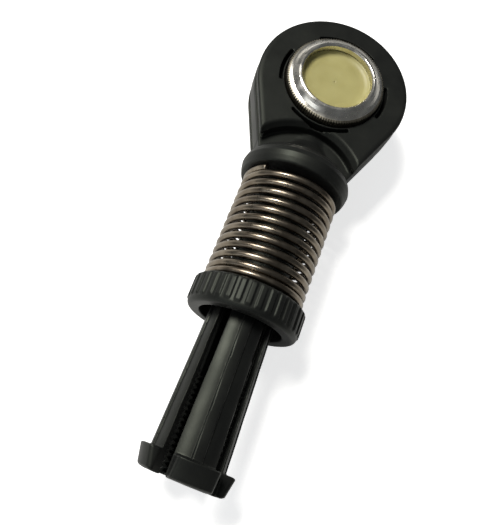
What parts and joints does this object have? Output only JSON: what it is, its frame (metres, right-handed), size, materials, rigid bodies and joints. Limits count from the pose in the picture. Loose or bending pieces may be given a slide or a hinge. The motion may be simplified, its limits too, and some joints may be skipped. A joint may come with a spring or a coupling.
{
  "type": "angle ball joint",
  "caption": "Angle ball joint for a control cable: round eye with a snap-in ball socket, and a toothed collet shank locked by a sprung ribbed collar.",
  "frame": {"origin": "centre of the ball in the socket", "axes": "+X along the shank towards the cable, +Z out of the socket's closed face, +Y to the left of the shank seen from above with +X ahead"},
  "size_m": [0.0997, 0.0326, 0.0228],
  "materials": {
    "black_nylon": "moulded, satin",
    "turned_steel": "turned and knurled",
    "natural_nylon": "smooth",
    "spring_steel": "drawn wire, lightly oiled",
    "black_collar": "moulded, satin"
  },
  "bodies": {
    "joint_body": {"housing": "black_nylon", "socket_sleeve": "turned_steel", "ball_seat": "natural_nylon"},
    "spring_body": {"spring": "spring_steel"},
    "collar_body": {"locking_collar": "black_collar"}
  },
  "joints": [
    {"name": "collar_turn", "type": "hinge", "parent": "joint_body", "child": "spring_body", "pos_m": [0.05, 0, 0], "axis": [1, 0, 0], "continuous": true},
    {"name": "collar_slide", "type": "slide", "parent": "spring_body", "child": "collar_body", "axis": [1, 0, 0], "range_m": [-0.004, 0.025], "deforming": ["spring"]}
  ]
}
